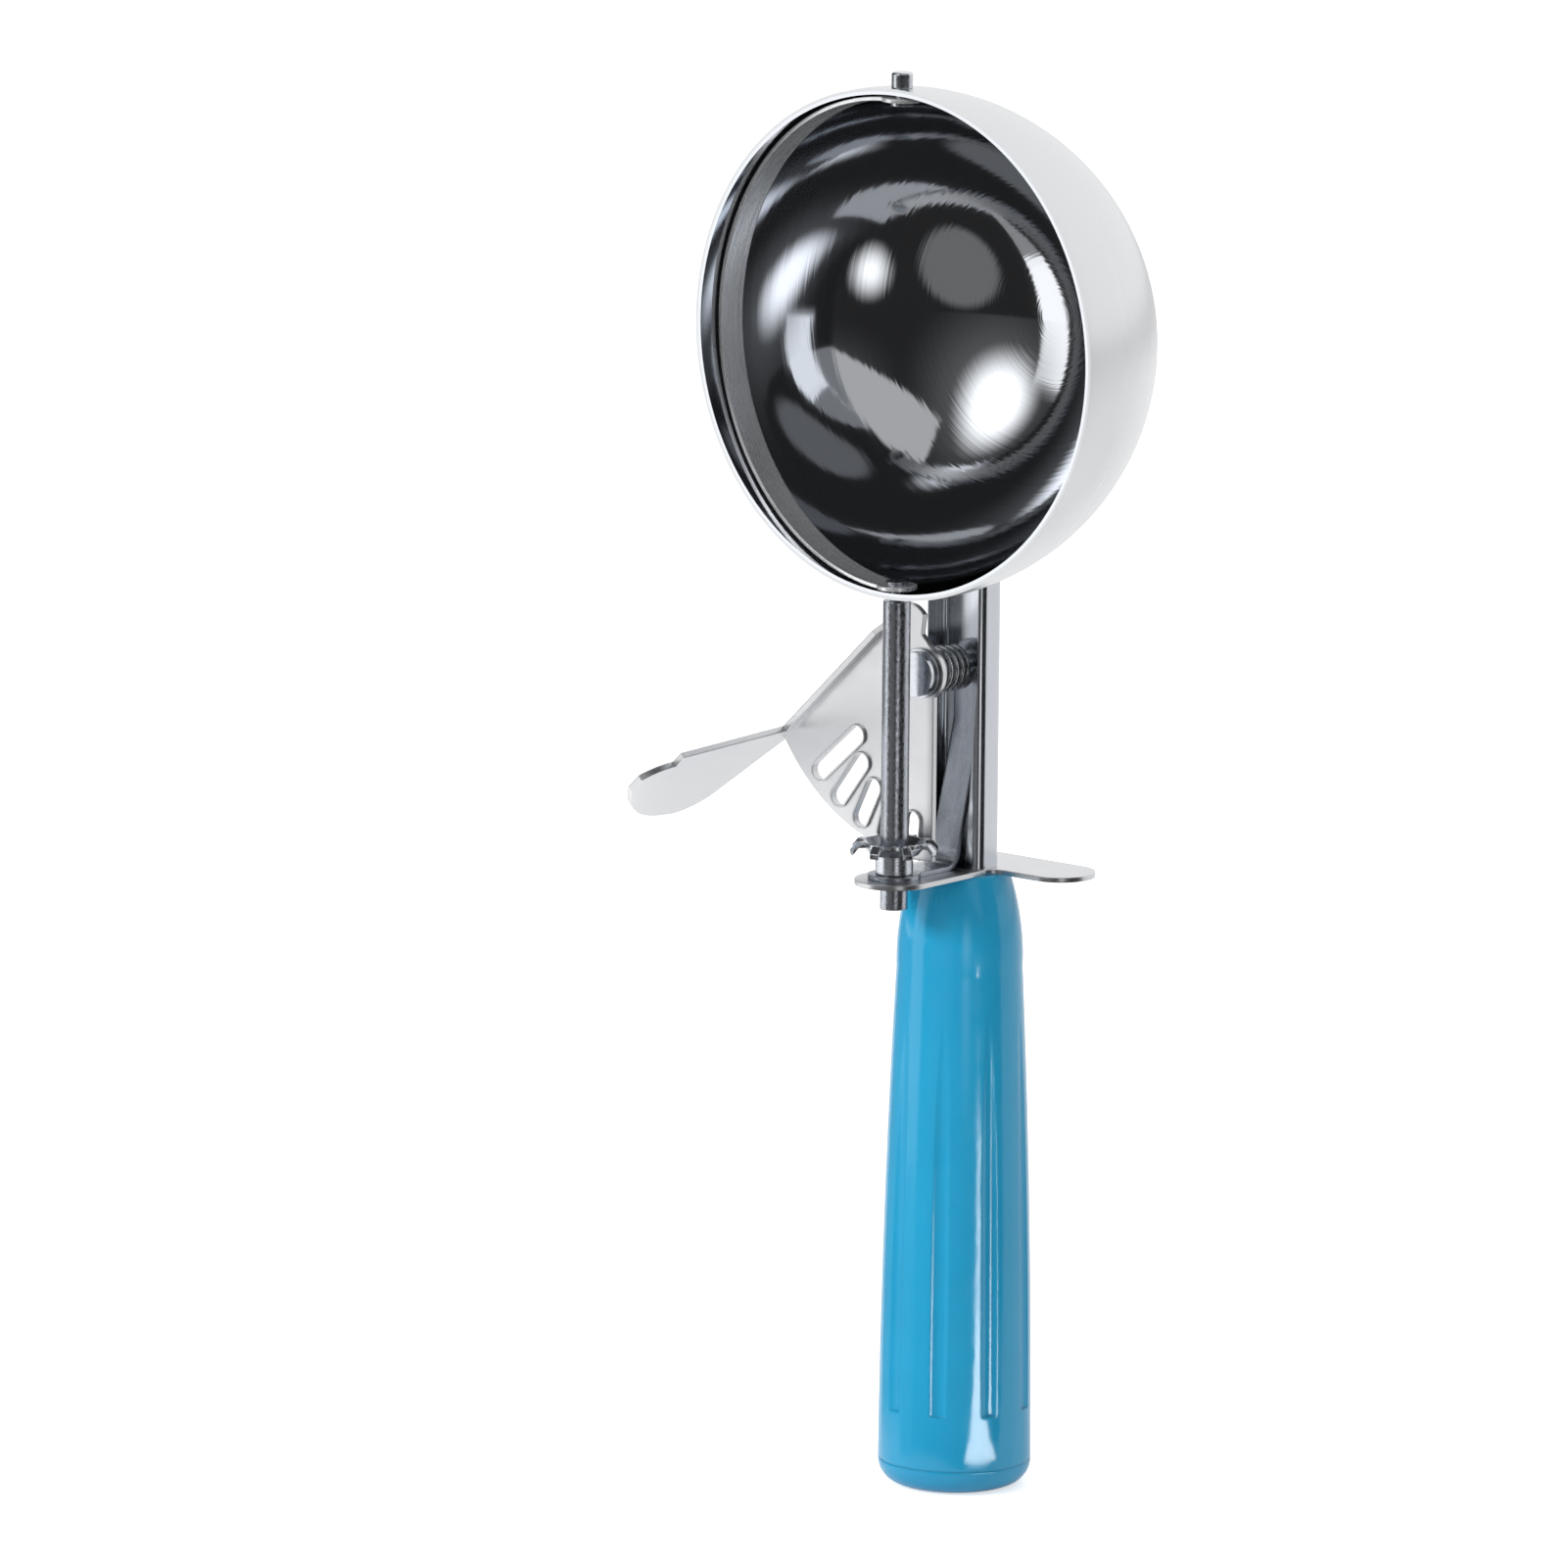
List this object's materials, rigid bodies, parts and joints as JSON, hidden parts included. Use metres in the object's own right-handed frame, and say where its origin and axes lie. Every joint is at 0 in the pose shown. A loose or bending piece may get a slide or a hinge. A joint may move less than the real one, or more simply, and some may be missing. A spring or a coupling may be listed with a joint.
{
  "type": "ice cream scoop",
  "caption": "Thumb-lever ice cream disher: round steel bowl with a sweeping scraper blade, turned by a slotted fan lever and a star wheel, on a fluted blue handle.",
  "frame": {"origin": "centre of the flat butt of the handle", "axes": "+Z along the handle towards the bowl, the bowl's mouth faces -Y, the thumb tab is at -X"},
  "size_m": [0.0821, 0.0654, 0.2293],
  "materials": {
    "bowl_steel": "polished inside, satin outside",
    "blade_steel": "bright rolled strip",
    "rod_steel": "bright drawn",
    "wheel_steel": "bright stamped",
    "shank_steel": "bright stamped",
    "plate_steel": "bright stamped",
    "lever_steel": "satin stamped",
    "rivet_steel": "bright turned",
    "spring_steel": "drawn wire",
    "handle_plastic": "gloss moulded",
    "cap_plastic": "gloss moulded"
  },
  "bodies": {
    "frame": {"bowl": "bowl_steel", "pivot_pin": "rivet_steel", "shank": "shank_steel", "rod_bracket": "shank_steel", "guard_plate": "plate_steel", "lever_rivet": "rivet_steel", "lever_spacer": "rivet_steel", "lever_washer": "rivet_steel", "return_spring": "spring_steel", "handle": "handle_plastic", "end_cap": "cap_plastic"},
    "lever": {"thumb_lever": "lever_steel"},
    "spinner": {"drive_rod": "rod_steel", "star_wheel": "wheel_steel", "wheel_collar": "rod_steel", "scraper": "blade_steel"}
  },
  "joints": [
    {"name": "lever_press", "type": "hinge", "parent": "frame", "child": "lever", "pos_m": [0, -0.00988, 0.133], "axis": [0, -1, 0], "range_deg": [0, 42], "stiffness_Nm_per_rad": 0.5, "springref_deg": -20.05, "deforming": ["return_spring"]},
    {"name": "scraper_spin", "type": "hinge", "parent": "frame", "child": "spinner", "pos_m": [0, -0.0165, 0.1863], "axis": [0, 0, -1], "range_deg": [0, 168]}
  ],
  "couplings": [
    {"joint": "scraper_spin", "follows": "lever_press", "ratio": 4}
  ]
}
